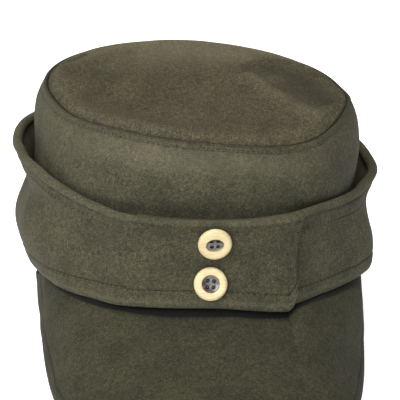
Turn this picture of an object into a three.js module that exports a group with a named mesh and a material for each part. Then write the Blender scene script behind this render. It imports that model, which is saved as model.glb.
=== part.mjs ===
// A soft mountain cap of olive melton wool: a round-shouldered crown under an oval top,
// a turn-up flap in two halves that overlap and button at the front, and a broad cloth peak.
//
// Millimetres, +Z up. The cap is built in its own frame, with the back of the crown's rim at z = 0,
// the front towards -Y and the wearer's left towards +X. The whole cap is then tipped back until it
// stands on the back of its rim and on the front corners of the peak, on the plane z = 0.
// Angles run round the cap in degrees, from 0 at the front through 90 at the wearer's left.

import * as THREE from "three";

// ---- Driving dimensions -------------------------------------------------------------------

const GAP = 0.3; // clear space kept between neighbouring pieces
const PRESS = 0.6; // how far the cloth is pressed flat where it rests
const ROUND = 0.2; // share of its thickness by which a cloth edge is drawn in on each face
const RIM = { halfWidth: 82.5, halfLength: 101, squareness: 2.25 }; // outside of the crown's rim
const STEP = 5; // degrees between sections
const CROWN = { cloth: 2.4, rows: 9, belly: 0.25, waist: 0.52, swell: 0.76, shoulder: 0.91 };
const TOP = { cloth: 2.4, rise: 2.5, rings: 6 };
const FLAP = {
  cloth: 3,
  height: 45, // about its height, which its rounded corner and cuts are shares of
  rows: 8,
  overlapEnd: 22.5, // where the overlapping half ends, on the wearer's left
  underlapEnd: -20, // and where the half under it ends
  underlapShort: 3.5, // how much the under half's foot is cut back there
  longAgainFrom: 20, // and between which angles it grows back to its full height
  longAgainBy: 60,
  lapGap: 0.5,
  liftOver: 10, // degrees in which the overlapping half climbs onto the other
  liftClear: 2, // and how many before the other's end it is all the way up
  corner: 7, // radius of the overlapping half's lower corner
  cornerSteps: 5,
  backSeam: 179.8,
};
const PEAK = {
  thick: 4.4,
  rootUp: 1.4, // height of its upper face at the crown
  slope: 29, // how steeply it falls away from the crown, in degrees
  rootAngle: 76, // it is sewn on from -rootAngle to +rootAngle
  halfWidth: 84.5,
  taper: 0.178, // how much narrower its front is
  back: -18, // where its sides start, along Y
  front: -172,
  skew: 0.044, // it leans to the wearer's right as it runs forward, past this place
  straightAt: -92.6,
  squareness: 3.7,
  edgeDown: 0.25, // share of its thickness by which its edge starts below its upper face
  edgeThick: 0.5, // and the share of it that its edge is thick
  across: 40,
  along: 8,
};
const BUTTON = {
  radius: 7.8,
  thick: 3.2,
  round: 1.6, // how far its rounded outer edge reaches in
  segments: 32,
  standOff: 0.9,
  dish: 4.1, // radius of the dish in its middle
  lip: 0.8,
  dishDeep: 1.5,
  hole: 0.8,
  holeOut: 1.95,
};
const BUTTONS = [
  { name: "upper", at: 0, up: 44.3 },
  { name: "lower", at: -1.2, up: 25.5 },
];

// ---- Sections round the cap ---------------------------------------------------------------

// Crown: how far its rim stands off the oval and how high it is, how far the wall stands off
// halfway up and under the seam, and where the seam lies.
const crownSections = [
  { at: 0, rimOut: 0, rimUp: 10, waist: -1.5, swell: 0.5, seamOut: -7.3, seamUp: 86.1 },
  { at: 30, rimOut: 0, rimUp: 9, waist: -0.5, swell: 1, seamOut: -6.1, seamUp: 84.3 },
  { at: 60, rimOut: 1, rimUp: 6, waist: 0.5, swell: 1.5, seamOut: -3.8, seamUp: 96.2 },
  { at: 90, rimOut: 1, rimUp: 3, waist: 1, swell: 1.5, seamOut: -5.7, seamUp: 98.5 },
  { at: 135, rimOut: 0, rimUp: 0, waist: 1, swell: 1, seamOut: -9.5, seamUp: 103.4 },
  { at: 180, rimOut: 0, rimUp: 0, waist: 1, swell: 1.5, seamOut: -8.7, seamUp: 109.4 },
  { at: 225, rimOut: 0, rimUp: 0, waist: 1, swell: 1, seamOut: -10, seamUp: 106.4 },
  { at: 270, rimOut: -1, rimUp: 3, waist: 0.5, swell: 0.5, seamOut: -4.5, seamUp: 100.2 },
  { at: 300, rimOut: -1.5, rimUp: 6, waist: 0, swell: 0.5, seamOut: -8.5, seamUp: 93.5 },
  { at: 330, rimOut: 0, rimUp: 9, waist: -0.5, swell: 0.5, seamOut: -7, seamUp: 90.7 },
];

// Flap: heights of its foot and head edges, and how far its inner face stands off the rim at the
// foot, the belly, the waist and the head. Both halves follow it.
const flapSections = [
  { at: -180, footUp: 1, footOut: 0.2, bellyOut: 5, waistOut: 4.4, headUp: 68, headOut: 7 },
  { at: -135, footUp: 4, footOut: 0.2, bellyOut: 6.2, waistOut: 4.4, headUp: 74, headOut: 11.5 },
  { at: -90, footUp: 8.5, footOut: 0.5, bellyOut: 7.7, waistOut: 2.7, headUp: 69.5, headOut: 8.5 },
  { at: -60, footUp: 13.5, footOut: 2.2, bellyOut: 7.5, waistOut: 1.8, headUp: 65, headOut: 7 },
  { at: -30, footUp: 12.7, footOut: 4.4, bellyOut: 4, waistOut: 1, headUp: 56, headOut: 1.4 },
  { at: 0, footUp: 11, footOut: 7, bellyOut: 2.3, waistOut: 0, headUp: 51.5, headOut: -1.5 },
  { at: 30, footUp: 11.5, footOut: 5, bellyOut: 2.5, waistOut: 1.2, headUp: 55, headOut: 1.8 },
  { at: 60, footUp: 16.5, footOut: 8, bellyOut: 7.4, waistOut: 2.4, headUp: 55.6, headOut: 5.2 },
  { at: 90, footUp: 8, footOut: 4, bellyOut: 5.5, waistOut: 5.2, headUp: 60, headOut: 12 },
  { at: 135, footUp: 3, footOut: 0.5, bellyOut: 5.2, waistOut: 5.2, headUp: 70, headOut: 13.5 },
];

// ---- Helpers ------------------------------------------------------------------------------

const radians = THREE.MathUtils.degToRad;

// A smooth curve through one column of a table, by angle.
function column(rows, name) {
  const slopeAt = (i) => {
    const before = rows[Math.max(0, i - 1)];
    const after = rows[Math.min(rows.length - 1, i + 1)];
    return (after[name] - before[name]) / (after.at - before.at);
  };
  return (angle) => {
    let i = 0;
    while (i < rows.length - 2 && rows[i + 1].at < angle) i += 1;
    const [low, high] = [rows[i], rows[i + 1]];
    const span = high.at - low.at;
    const t = THREE.MathUtils.clamp((angle - low.at) / span, 0, 1);
    const ease = t * t * (3 - 2 * t);
    const leave = t * (1 - t) * (1 - t) * span * slopeAt(i);
    const arrive = t * t * (t - 1) * span * slopeAt(i + 1);
    return low[name] + (high[name] - low[name]) * ease + leave + arrive;
  };
}

// All the columns of a table as one function of the angle.
function sections(rows) {
  const names = Object.keys(rows[0]).filter((name) => name !== "at");
  const curves = Object.fromEntries(names.map((name) => [name, column(rows, name)]));
  return (angle) => Object.fromEntries(names.map((name) => [name, curves[name](angle)]));
}

// A table that goes once round the cap, with a turn before and after it so that it closes smoothly.
function closedSections(rows) {
  const turned = (by) => rows.map((row) => ({ ...row, at: row.at + by }));
  return sections([...turned(-360), ...rows, ...turned(360)]);
}

function rimRadius(angle) {
  const [s, c] = [Math.sin(radians(angle)), Math.cos(radians(angle))];
  const across = Math.abs(s / RIM.halfWidth) ** RIM.squareness;
  const along = Math.abs(c / RIM.halfLength) ** RIM.squareness;
  return (across + along) ** (-1 / RIM.squareness);
}

// The point at an angle, a distance out from the rim's oval, and a height.
function place(angle, out, up) {
  const r = rimRadius(angle) + out;
  return new THREE.Vector3(r * Math.sin(radians(angle)), -r * Math.cos(radians(angle)), up);
}

function solid(points, faces) {
  const geometry = new THREE.BufferGeometry();
  const positions = points.flatMap((p) => p.toArray());
  geometry.setAttribute("position", new THREE.Float32BufferAttribute(positions, 3));
  geometry.setIndex(faces);
  return geometry;
}

// Which way a line (out, up) faces outward at one of its points.
function outwardAt(line, i) {
  const along = line[Math.min(line.length - 1, i + 1)].clone().sub(line[Math.max(0, i - 1)]);
  return new THREE.Vector2(along.y, -along.x).normalize();
}

// A cloth section as a closed loop: a smooth line through the given points (out, up), from its
// foot to its head, with the cloth's thickness added on one side and both edges rounded. The foot
// may be cut short by a share of the line, and the whole section lifted off the line.
function clothLoop(points, rows, thickness, { cut = 0, lift = 0 } = {}) {
  const curve = new THREE.SplineCurve(points);
  const line = range(cut, 1, (1 - cut) / rows).map((t) => curve.getPoint(t));
  const loop = { inner: [], outer: [] };
  line.forEach((p, i) => {
    const outward = outwardAt(line, i);
    const trim = i === 0 || i === rows ? thickness * ROUND : 0;
    loop.inner.push(p.clone().addScaledVector(outward, lift + trim));
    loop.outer.push(p.clone().addScaledVector(outward, lift + thickness - trim));
  });
  return [...loop.outer, ...loop.inner.reverse()];
}

// Joins a row of closed loops into one closed surface. Open sweeps get an end wall at each end.
function sweep(loops, closed) {
  const count = loops[0].length;
  const faces = [];
  const quad = (a, b, c, d) => faces.push(a, b, c, a, c, d);
  const last = closed ? loops.length : loops.length - 1;
  for (let i = 0; i < last; i += 1) {
    const [here, next] = [i * count, ((i + 1) % loops.length) * count];
    for (let j = 0; j < count; j += 1) {
      const k = (j + 1) % count;
      quad(here + j, next + j, next + k, here + k);
    }
  }
  if (!closed) {
    const end = (loops.length - 1) * count;
    for (let j = 0; j < count / 2 - 1; j += 1) {
      const back = count - 1 - j;
      quad(j, j + 1, back - 1, back);
      quad(end + j, end + back, end + back - 1, end + j + 1);
    }
  }
  return solid(loops.flat(), faces);
}

function range(from, to, step) {
  const count = Math.round((to - from) / step);
  return Array.from({ length: count + 1 }, (_, i) => from + ((to - from) * i) / count);
}

const wool = new THREE.MeshStandardMaterial({ color: 0x55523f, roughness: 0.95 });
const bone = new THREE.MeshStandardMaterial({ color: 0xe6d3a0, roughness: 0.5 });
const horn = new THREE.MeshStandardMaterial({ color: 0x4a3d3c, roughness: 0.3 });

function mesh(name, geometry, material) {
  const made = new THREE.Mesh(geometry, material);
  made.name = name;
  return made;
}

// ---- Crown --------------------------------------------------------------------------------

const crownAt = closedSections(crownSections);

// The outside of the wall at an angle, as points (out, up) from the rim to the seam.
function wallLine(angle) {
  const { rimOut, rimUp, waist, swell, seamOut, seamUp } = crownAt(angle);
  const up = (share) => rimUp + (seamUp - rimUp) * share;
  return [
    new THREE.Vector2(rimOut, up(0)),
    new THREE.Vector2((rimOut + waist) / 2, up(CROWN.belly)),
    new THREE.Vector2(waist, up(CROWN.waist)),
    new THREE.Vector2(swell, up(CROWN.swell)),
    new THREE.Vector2(THREE.MathUtils.lerp(swell, seamOut, 0.3), up(CROWN.shoulder)),
    new THREE.Vector2(seamOut, up(1)),
  ];
}

function crownWall() {
  const loops = range(0, 360 - STEP, STEP).map((angle) => {
    const line = wallLine(angle);
    const inner = line.map((p, i) => p.clone().addScaledVector(outwardAt(line, i), -CROWN.cloth));
    return clothLoop(inner, CROWN.rows, CROWN.cloth).map((p) => place(angle, p.x, p.y));
  });
  return mesh("crown_wall", sweep(loops, true), wool);
}

// The top lies on the wall's upper edge and rises gently to the middle.
function crownTop() {
  const angles = range(0, 360 - STEP, STEP);
  const middle = angles.reduce((sum, angle) => sum + crownAt(angle).seamUp, 0) / angles.length;
  const surface = (angle, share, lift) => {
    const { seamOut, seamUp } = crownAt(angle);
    const edge = place(angle, seamOut, 0);
    const height = seamUp + (middle + TOP.rise - seamUp) * (1 - share * share) + GAP + lift;
    return new THREE.Vector3(edge.x * share, edge.y * share, height);
  };
  const shares = range(1 / TOP.rings, 1, 1 / TOP.rings);
  const rings = [
    ...shares.map((share) => ({ share, lift: TOP.cloth * (share === 1 ? 1 - ROUND : 1) })),
    ...shares.reverse().map((share) => ({ share, lift: 0 })),
  ];
  const points = [
    surface(0, 0, TOP.cloth),
    ...rings.flatMap(({ share, lift }) => angles.map((angle) => surface(angle, share, lift))),
    surface(0, 0, 0),
  ];
  const faces = [];
  const count = angles.length;
  const lastRing = 1 + (rings.length - 1) * count;
  for (let i = 0; i < count; i += 1) {
    const next = (i + 1) % count;
    faces.push(0, 1 + i, 1 + next);
    for (let ring = 1; ring < lastRing; ring += count) {
      const below = ring + count;
      faces.push(ring + i, below + i, below + next, ring + i, below + next, ring + next);
    }
    faces.push(lastRing + i, points.length - 1, lastRing + next);
  }
  return mesh("crown_top", solid(points, faces), wool);
}

// ---- Flap ---------------------------------------------------------------------------------

const flapAt = closedSections(flapSections);

// The inner face of the flap, as points (out, up) from foot to head.
function flapLine(angle) {
  const { footUp, footOut, bellyOut, waistOut, headUp, headOut } = flapAt(angle);
  const outs = [footOut, bellyOut, waistOut, headOut];
  return outs.map((out, i) => new THREE.Vector2(out, footUp + ((headUp - footUp) * i) / 3));
}

// How far the overlapping half is lifted off by the half under it.
function overlapLift(angle) {
  const climbed = FLAP.underlapEnd - FLAP.liftClear;
  const share = THREE.MathUtils.smoothstep(angle, climbed - FLAP.liftOver, climbed);
  return share * (FLAP.cloth + FLAP.lapGap);
}

// The share of the flap's height that its rounded lower corner takes off at an angle.
function cornerCut(angle) {
  const fromEnd = radians(FLAP.overlapEnd - angle) * rimRadius(angle);
  const inside = Math.max(0, FLAP.corner - fromEnd);
  return (FLAP.corner - Math.sqrt(FLAP.corner ** 2 - inside ** 2)) / FLAP.height;
}

function overlapLoop(angle) {
  const settings = { cut: cornerCut(angle), lift: overlapLift(angle) };
  return clothLoop(flapLine(angle), FLAP.rows, FLAP.cloth, settings);
}

function overlappingFlap() {
  const cornerStart = FLAP.overlapEnd - FLAP.cornerSteps;
  const cornerAngles = range(1, FLAP.cornerSteps, 1).map((i) => {
    const turn = (i / FLAP.cornerSteps) * (Math.PI / 2);
    return cornerStart + FLAP.cornerSteps * Math.sin(turn);
  });
  const angles = [...range(-FLAP.backSeam, cornerStart, STEP), ...cornerAngles];
  const loops = angles.map((angle) => overlapLoop(angle).map((p) => place(angle, p.x, p.y)));
  return mesh("flap_overlapping", sweep(loops, false), wool);
}

function underlappingFlap() {
  const loops = range(FLAP.underlapEnd, FLAP.backSeam, STEP).map((angle) => {
    const full = THREE.MathUtils.smoothstep(angle, FLAP.longAgainFrom, FLAP.longAgainBy);
    const cut = (FLAP.underlapShort / FLAP.height) * (1 - full);
    const loop = clothLoop(flapLine(angle), FLAP.rows, FLAP.cloth, { cut });
    return loop.map((p) => place(angle, p.x, p.y));
  });
  return mesh("flap_underlapping", sweep(loops, false), wool);
}

// ---- Peak ---------------------------------------------------------------------------------

// The peak's outline, a little askew, at a share across it from -1 at one side to 1 at the other.
function peakOutline(share) {
  const turn = (share * Math.PI) / 2;
  const [s, c] = [Math.sin(turn), Math.cos(turn)];
  const power = 2 / PEAK.squareness;
  const forward = c ** power;
  const x = PEAK.halfWidth * Math.sign(s) * Math.abs(s) ** power * (1 - PEAK.taper * forward);
  const y = THREE.MathUtils.lerp(PEAK.back, PEAK.front, forward);
  return new THREE.Vector2(x + PEAK.skew * (y - PEAK.straightAt), y);
}

// The peak falls away in straight lines from its root along the rim.
function peak() {
  const fall = Math.tan(radians(PEAK.slope));
  const loops = range(-1, 1, 2 / PEAK.across).map((share) => {
    const angle = share * PEAK.rootAngle;
    const { rimOut, rimUp } = crownAt(angle);
    const root = place(angle, rimOut + GAP, rimUp + PEAK.rootUp);
    const edge = peakOutline(share);
    const drop = fall * Math.hypot(edge.x - root.x, edge.y - root.y);
    const upper = range(0, 1, 1 / PEAK.along).map((t, i) => {
      const x = THREE.MathUtils.lerp(root.x, edge.x, t);
      const y = THREE.MathUtils.lerp(root.y, edge.y, t);
      const down = i === PEAK.along ? PEAK.thick * PEAK.edgeDown : 0;
      return new THREE.Vector3(x, y, root.z - drop * t - down);
    });
    const lower = upper.map((p, i) => {
      const share = i === PEAK.along ? PEAK.edgeThick : 1;
      return new THREE.Vector3(p.x, p.y, p.z - PEAK.thick * share);
    });
    return [...lower, ...upper.reverse()];
  });
  return mesh("peak", sweep(loops, false), wool);
}

// ---- Buttons ------------------------------------------------------------------------------

function buttonRim() {
  const { radius, thick, round, dish, lip, segments } = BUTTON;
  const edge = range(-90, 90, 30).map((turn) => {
    const [s, c] = [Math.sin(radians(turn)), Math.cos(radians(turn))];
    return [radius - round + round * c, (thick / 2) * (1 + s)];
  });
  const profile = [[dish, 0], ...edge, [dish + lip, thick], [dish, thick - lip], [dish, 0]];
  const points = profile.map(([r, height]) => new THREE.Vector2(r, height));
  return new THREE.LatheGeometry(points, segments).rotateX(Math.PI / 2);
}

function buttonCentre() {
  const { dish, thick, dishDeep, hole, holeOut } = BUTTON;
  const disc = new THREE.Shape().absarc(0, 0, dish - GAP, 0, Math.PI * 2);
  [1, 3, 5, 7].forEach((eighth) => {
    const turn = (eighth * Math.PI) / 4;
    const [x, y] = [holeOut * Math.cos(turn), holeOut * Math.sin(turn)];
    disc.holes.push(new THREE.Path().absarc(x, y, hole, 0, Math.PI * 2, true));
  });
  const settings = { depth: thick - dishDeep, bevelEnabled: false, curveSegments: 12 };
  return new THREE.ExtrudeGeometry(disc, settings);
}

// A group whose origin is on the flap's outer face, with +Z straight out of the cloth.
function buttonSeat({ at, up }) {
  const outer = overlapLoop(at).slice(0, FLAP.rows + 1);
  const i = outer.findIndex((p) => p.y > up);
  const share = (up - outer[i - 1].y) / (outer[i].y - outer[i - 1].y);
  const point = outer[i - 1].clone().lerp(outer[i], share);
  const along = outer[i].clone().sub(outer[i - 1]).normalize();
  const seat = new THREE.Group();
  seat.position.copy(place(at, point.x, point.y));
  const outward = place(at, 1, 0).sub(place(at, 0, 0)).multiplyScalar(along.y);
  outward.z = -along.x;
  seat.quaternion.setFromUnitVectors(new THREE.Vector3(0, 0, 1), outward.normalize());
  return seat;
}

function button(settings) {
  const rim = mesh(`button_rim_${settings.name}`, buttonRim(), bone);
  const centre = mesh(`button_centre_${settings.name}`, buttonCentre(), horn);
  rim.position.z = BUTTON.standOff;
  centre.position.z = BUTTON.standOff;
  const seat = buttonSeat(settings);
  seat.add(rim, centre);
  return seat;
}

// ---- Assembly -----------------------------------------------------------------------------

const cap = new THREE.Group();
cap.add(crownWall(), crownTop(), overlappingFlap(), underlappingFlap(), peak());
cap.add(...BUTTONS.map(button));

// Runs through the corners of every mesh under a group, in the world's frame. A visitor that
// changes the point it is given moves that corner.
function eachCorner(group, visit) {
  group.updateMatrixWorld(true);
  group.traverse((node) => {
    if (!node.isMesh) return;
    const corners = node.geometry.getAttribute("position");
    for (let i = 0; i < corners.count; i += 1) {
      const corner = node.localToWorld(new THREE.Vector3().fromBufferAttribute(corners, i));
      const before = corner.z;
      visit(corner);
      if (corner.z !== before) corners.setXYZ(i, ...node.worldToLocal(corner).toArray());
    }
  });
}

// Tips the cap back round its rim until the front of the peak comes up level with the back.
function tipBack(group) {
  let tip = 0;
  eachCorner(group, (p) => {
    tip = Math.max(tip, Math.atan2(-p.z, RIM.halfLength - p.y));
  });
  group.rotation.x = -tip;
}

// Stands a group on z = 0, centred, with the cloth pressed flat where it meets the surface.
function stand(group) {
  const box = new THREE.Box3().setFromObject(group, true);
  const middle = box.getCenter(new THREE.Vector3());
  group.position.set(-middle.x, -middle.y, -box.min.z - PRESS);
  eachCorner(group, (p) => {
    p.z = Math.max(0, p.z);
  });
}

tipBack(cap);
stand(cap);

const part = new THREE.Group();
part.add(cap);

export default part;
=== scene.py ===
import math

import bmesh
import bpy
import numpy as np
from mathutils import Matrix, Vector


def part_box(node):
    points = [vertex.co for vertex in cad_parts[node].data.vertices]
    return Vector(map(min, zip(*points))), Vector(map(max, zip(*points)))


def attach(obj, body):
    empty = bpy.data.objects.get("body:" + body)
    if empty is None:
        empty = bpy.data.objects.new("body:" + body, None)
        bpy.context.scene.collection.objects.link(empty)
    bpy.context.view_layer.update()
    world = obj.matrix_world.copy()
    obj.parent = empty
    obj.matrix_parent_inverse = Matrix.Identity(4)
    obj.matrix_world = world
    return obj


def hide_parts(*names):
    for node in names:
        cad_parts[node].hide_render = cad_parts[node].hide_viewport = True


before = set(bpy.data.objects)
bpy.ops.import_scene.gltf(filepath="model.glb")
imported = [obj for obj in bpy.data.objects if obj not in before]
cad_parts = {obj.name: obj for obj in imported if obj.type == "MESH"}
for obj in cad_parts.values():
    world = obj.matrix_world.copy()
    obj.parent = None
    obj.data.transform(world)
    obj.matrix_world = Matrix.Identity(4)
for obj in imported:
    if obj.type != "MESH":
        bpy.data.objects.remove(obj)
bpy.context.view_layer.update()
print("frame loaded:", len(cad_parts), "nodes")

# The cap is drawn in millimetres in its own frame: the front towards -y, the wearer's left towards
# +x, the back of the rim at z = 0. Angles run round it from 0 at the front through 90 at the left.
capStand = {
    "tipDegrees": -8.05122,  # tipped back on to the front corners of the peak
    "moveMm": (-1.80302, 27.94729, 13.54589),
}
rimOval = {"halfWidth": 82.5, "halfLength": 101, "squareness": 2.25}

crownTable = {
    "at": (0, 30, 60, 90, 135, 180, 225, 270, 300, 330),  # degrees round the cap
    "rimOut": (0, 0, 1, 1, 0, 0, 0, -1, -1.5, 0),  # out from the oval of the rim
    "rimUp": (10, 9, 6, 3, 0, 0, 0, 3, 6, 9),
    "waist": (-1.5, -0.5, 0.5, 1, 1, 1, 1, 0.5, 0, -0.5),  # out, half way up
    "swell": (2.2, 1.6, 1.5, 1.5, 1, 1.5, 1, 0.5, 0.5, 1.3),  # and above that
    "lean": (0.55, 0.45, 0.35, 0.3, 0.3, 0.3, 0.3, 0.3, 0.35, 0.45),  # 1 where the shoulder follows the seam
    "seamOut": (-7.3, -6.1, -3.8, -5.7, -8, -8.7, -8, -4.5, -8.5, -7),
    "seamUp": (86.1, 84.3, 95.8, 98.6, 104.2, 109.4, 106.3, 99.2, 92.9, 90.5),
}
flapTable = {
    "at": (-180, -135, -90, -60, -30, 0, 20, 30, 60, 90, 135),  # degrees round the cap
    "footUp": (1, 4, 8.5, 13.5, 12.7, 13.4, 9.6, 11.5, 16.5, 8, 3),
    "footOut": (0.2, 0.2, 0.5, 2.2, 4.4, 7, 6, 5, 8, 4, 0.5),  # out from the oval of the rim
    "bellyOut": (5, 6.2, 7.7, 7.5, 4, 2.3, 2.4, 2.5, 7.4, 5.7, 5.2),
    "waistOut": (4.4, 4.4, 0.4, 1.8, 1, 0, 0.6, 1.2, 2.4, 5.2, 5.2),
    "headUp": (68, 74, 71.3, 67.5, 55.3, 51.5, 53.2, 55, 55.6, 60, 70),
    "headOut": (7, 11.5, 10.7, 7.5, 1.4, -1.5, 0.3, 1.8, 5.2, 13.4, 13.5),
}


def readTable(table, angles):  # each column as a smooth closed curve, read at these angles
    turns = np.concatenate([np.array(table["at"], float) + by for by in (-360, 0, 360)])
    i = np.clip(np.searchsorted(turns, angles, side="right") - 1, 1, len(turns) - 3)
    span = turns[i + 1] - turns[i]
    t = np.clip((angles - turns[i]) / span, 0, 1)
    found = {}
    for name, column in table.items():
        value = np.tile(np.array(column, float), 3)
        leave = (value[i + 1] - value[i - 1]) / (turns[i + 1] - turns[i - 1])
        arrive = (value[i + 2] - value[i]) / (turns[i + 2] - turns[i])
        found[name] = (
            value[i]
            + (value[i + 1] - value[i]) * t * t * (3 - 2 * t)
            + leave * t * (1 - t) ** 2 * span
            + arrive * t * t * (t - 1) * span
        )
    return found


def throughPoints(points, share):  # a smooth line through (out, up) points, at a share along it
    points = np.array([np.stack(np.broadcast_arrays(*p), axis=-1) for p in points])
    last = len(points) - 1
    place = np.clip(share, 0, 1) * last
    i = np.minimum(place.astype(int), last - 1)
    w = (place - i)[..., None]
    rows, columns = np.indices(i.shape)
    a, b, c, d = (points[np.clip(i + k, 0, last), rows, columns] for k in (-1, 0, 1, 2))
    leave, arrive = (c - a) / 2, (d - b) / 2
    return (
        (2 * b - 2 * c + leave + arrive) * w**3
        + (-3 * b + 3 * c - 2 * leave - arrive) * w**2
        + leave * w
        + b
    )


def smooth(low, high, value):
    t = np.clip((value - low) / (high - low), 0, 1)
    return t * t * (3 - 2 * t)


def bump(value, middle, width):
    return np.exp(-(((value - middle) / width) ** 2))


def unit(vectors):
    return vectors / np.maximum(np.linalg.norm(vectors, axis=-1, keepdims=True), 1e-9)


def evenly(stop, size):  # distances from 0 to stop, about this size apart
    return np.linspace(0, stop, int(round(stop / size)) + 1)


def lengthAlong(line):  # distance from the start of each row of points, in millimetres
    steps = np.linalg.norm(np.diff(line, axis=1), axis=-1)
    return np.concatenate([np.zeros((len(line), 1)), np.cumsum(steps, axis=1)], axis=1)


def ovalRadius(angle):
    s, c = np.sin(np.radians(angle)), np.cos(np.radians(angle))
    power = rimOval["squareness"]
    reach = np.abs(s / rimOval["halfWidth"]) ** power + np.abs(c / rimOval["halfLength"]) ** power
    return reach ** (-1 / power)


def roundCap(angle, out, up):
    radius = ovalRadius(angle) + out
    s, c = np.sin(np.radians(angle)), np.cos(np.radians(angle))
    return np.stack([radius * s, -radius * c, up + 0 * radius], axis=-1)


def standUp(points):  # from the cap's own frame in millimetres to where it stands, in metres
    x, y, z = np.moveaxis(points, -1, 0)
    c, s = (f(math.radians(capStand["tipDegrees"])) for f in (math.cos, math.sin))
    moved = np.stack([x, y * c - z * s, y * s + z * c], axis=-1) + capStand["moveMm"]
    moved[..., 2] = np.maximum(moved[..., 2], 0)  # cloth pressed flat on the floor
    return moved / 1000


# Soft unevenness of worn cloth: long waves in a few directions, the same for all pieces
clothWaves = {"seed": 7, "lengthsMm": (62, 38, 23, 14), "heightsMm": (0.36, 0.24, 0.13, 0.06)}


def unevenness(points):
    draw = np.random.default_rng(clothWaves["seed"])
    total = np.zeros(points.shape[:-1])
    for length, height in zip(clothWaves["lengthsMm"], clothWaves["heightsMm"]):
        for _ in range(3):
            way = unit(draw.normal(size=3))
            total += height * np.sin(points @ way * (2 * math.pi / length) + draw.uniform(0, 2 * math.pi))
    return total


def closeRows(lineAt, angles, rows):
    # shares along each line that put rows close together near its foot and its head
    nearFoot, nearHead = evenly(*rows["foot"]), evenly(*rows["head"])
    probe = np.broadcast_to(np.linspace(0, 1, 80), (len(angles), 80))
    run = lengthAlong(lineAt(np.broadcast_to(angles[:, None], probe.shape), probe))
    start, total = nearFoot[-1], run[:, -1:]
    middle = start + (total - start - nearHead[-1]) * np.linspace(0, 1, rows["between"] + 2)[1:-1]
    wanted = np.concatenate([nearFoot + 0 * total, middle, total - nearHead[::-1]], axis=1)
    return np.stack([np.interp(w, r, p) for w, r, p in zip(wanted, run, probe)])


def outwardOf(line):  # which way the outer face of an (out, up) line looks
    along = np.gradient(line, axis=1)
    return unit(np.stack([along[..., 1], -along[..., 0]], axis=-1))


def facing(middle, closed=False):
    du = np.roll(middle, -1, axis=0) - np.roll(middle, 1, axis=0) if closed else np.gradient(middle, axis=0)
    return unit(np.cross(du, np.gradient(middle, axis=1)))


def gridPiece(name, points, lengths, pressed):
    # a grid with its corners laid over the points, closed where rows or columns meet
    along, around = points.shape[:2]
    bpy.ops.object.select_all(action="DESELECT")
    bpy.ops.mesh.primitive_grid_add(
        x_subdivisions=along - 1, y_subdivisions=around - 1, size=1, calc_uvs=True
    )
    piece = bpy.context.object
    piece.name = piece.data.name = name
    mesh = piece.data
    flat = np.zeros(len(mesh.vertices) * 3)
    mesh.vertices.foreach_get("co", flat)
    flat = flat.reshape(-1, 3)
    i = np.rint((flat[:, 0] + 0.5) * (along - 1)).astype(int)
    j = np.rint((flat[:, 1] + 0.5) * (around - 1)).astype(int)
    mesh.vertices.foreach_set("co", standUp(points)[i, j].ravel())
    # painted shade and painted highlight of each point, kept as an attribute
    mesh.attributes.new("pressed", "FLOAT", "POINT").data.foreach_set("value", pressed[i, j])
    uv = np.zeros(len(mesh.loops) * 2)
    mesh.uv_layers.active.data.foreach_get("uv", uv)
    uv = uv.reshape(-1, 2) * lengths  # in metres of cloth
    mesh.uv_layers.active.data.foreach_set("uv", uv.ravel())
    bpy.ops.object.mode_set(mode="EDIT")
    bpy.ops.mesh.select_all(action="SELECT")
    bpy.ops.mesh.remove_doubles(threshold=2e-7)
    bpy.ops.mesh.normals_make_consistent(inside=False)
    bpy.ops.object.mode_set(mode="OBJECT")
    bpy.ops.object.shade_smooth()
    return piece


def clothPiece(name, middle, half, relief, pressed, closed=False, pole=False, innerEvery=1):
    # a closed piece of cloth of real thickness round its middle surface, from its foot to its head,
    # with rounded edges; relief is how far the outer face stands proud, and the next argument darkens it
    # with painted shade, and below zero lightens it with painted highlight
    normal = facing(middle, closed)
    if pole:  # its rows run outwards, so the face that shows is on the other side
        normal = -normal
        normal[:, 0] = unit(normal[:, 1].mean(axis=0))
    rise = unit(np.gradient(middle, axis=1))
    half = np.broadcast_to(half, middle.shape[:2])[..., None]
    outer = middle + normal * (half + relief[..., None])
    inner = middle - normal * half
    rollSteps = 8
    turns = [math.pi * (k + 1) / (rollSteps + 1) for k in range(rollSteps)]

    def roll(at, way):
        return [
            middle[:, at] + way * half[:, at] * (normal[:, at] * math.cos(a) + rise[:, at] * math.sin(a))
            for a in turns
        ]

    rows = [outer[:, k] for k in range(outer.shape[1])]
    rows += roll(-1, 1)
    kept = list(range(inner.shape[1] - 1, -1, -innerEvery))
    if kept[-1] != 0:
        kept.append(0)
    rows += [inner[:, k] for k in kept]
    if not pole:
        rows += roll(0, -1)
        rows.append(outer[:, 0])
    points = np.stack(rows, axis=1)
    marks = np.zeros(points.shape[:2])
    marks[:, : outer.shape[1]] = pressed
    marks[:, outer.shape[1] : outer.shape[1] + rollSteps] = pressed[:, -1:]
    if not pole:
        marks[:, -rollSteps - 1 :] = pressed[:, :1]
    if closed:
        points = np.concatenate([points, points[:1]], axis=0)
        marks = np.concatenate([marks, marks[:1]], axis=0)
    lengths = [np.linalg.norm(np.diff(points, axis=k), axis=-1).sum(axis=k).max() / 1000 for k in (0, 1)]
    piece = gridPiece(name, points, lengths, marks)
    return piece, {"points": outer, "normal": normal}


def turnDown(line, faceSide, fold):
    # carries a line of (out, up) on over a small bend and straight down into its seam
    end, before = line[:, -1], line[:, -2]
    heading = np.arctan2(end[:, 1] - before[:, 1], end[:, 0] - before[:, 0])
    turn = 1.5 * math.pi - heading if faceSide > 0 else heading + math.pi / 2

    def faceWay(a):
        return faceSide * np.stack([np.sin(a), -np.cos(a)], axis=-1)

    centre = end - faceWay(heading) * fold["radius"]
    parts = [line]
    for k in range(1, fold["bendSteps"] + 1):
        a = heading + faceSide * turn * k / fold["bendSteps"]
        parts.append((centre + faceWay(a) * fold["radius"])[:, None])
    for down in fold["lipMm"]:
        parts.append(parts[fold["bendSteps"]] - np.array([0, down]))
    return np.concatenate(parts, axis=1), centre


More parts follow.
